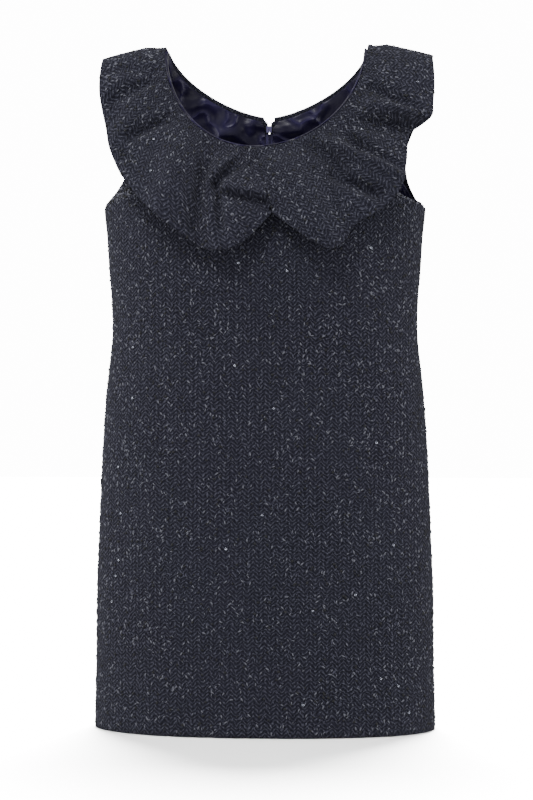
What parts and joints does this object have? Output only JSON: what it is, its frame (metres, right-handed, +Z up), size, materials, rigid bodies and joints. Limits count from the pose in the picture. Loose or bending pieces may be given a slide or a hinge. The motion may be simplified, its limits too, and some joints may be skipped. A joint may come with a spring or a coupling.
{
  "type": "shift dress with a flounce collar, filled out",
  "caption": "Sleeveless tweed shift dress with a wide flounce collar, satin lining and a centre-back zip with a swinging pull.",
  "frame": {"origin": "midway between the two neck points, at the height of the shoulder line, where the wearer's shoulders hold the dress", "axes": "+Z up along the dress's length, -Y out of the front, +X to the viewer's right of the front"},
  "size_m": [0.408, 0.2105, 0.8155],
  "materials": {
    "tweed": "boucle tweed in navy and charcoal with sequins",
    "satin": "navy satin, soft sheen",
    "zip_tape": "woven tape with nylon coil",
    "zip_metal": "dark violet enamel"
  },
  "bodies": {
    "dress": {"front_panel": "tweed", "back_panel_left": "tweed", "back_panel_right": "tweed", "ruffle_left": "tweed", "ruffle_right": "tweed", "neck_binding": "satin", "lining_front": "satin", "lining_back_left": "satin", "lining_back_right": "satin", "zip_tape_left": "zip_tape", "zip_tape_right": "zip_tape", "zip_slider": "zip_metal"},
    "zip_pull_tab": {"zip_pull": "zip_metal"}
  },
  "joints": [
    {"name": "zip_pull_swing", "type": "hinge", "parent": "dress", "child": "zip_pull_tab", "pos_m": [0.00167, 0.06896, -0.088], "axis": [1, 0, 0], "range_deg": [0, 160]}
  ]
}
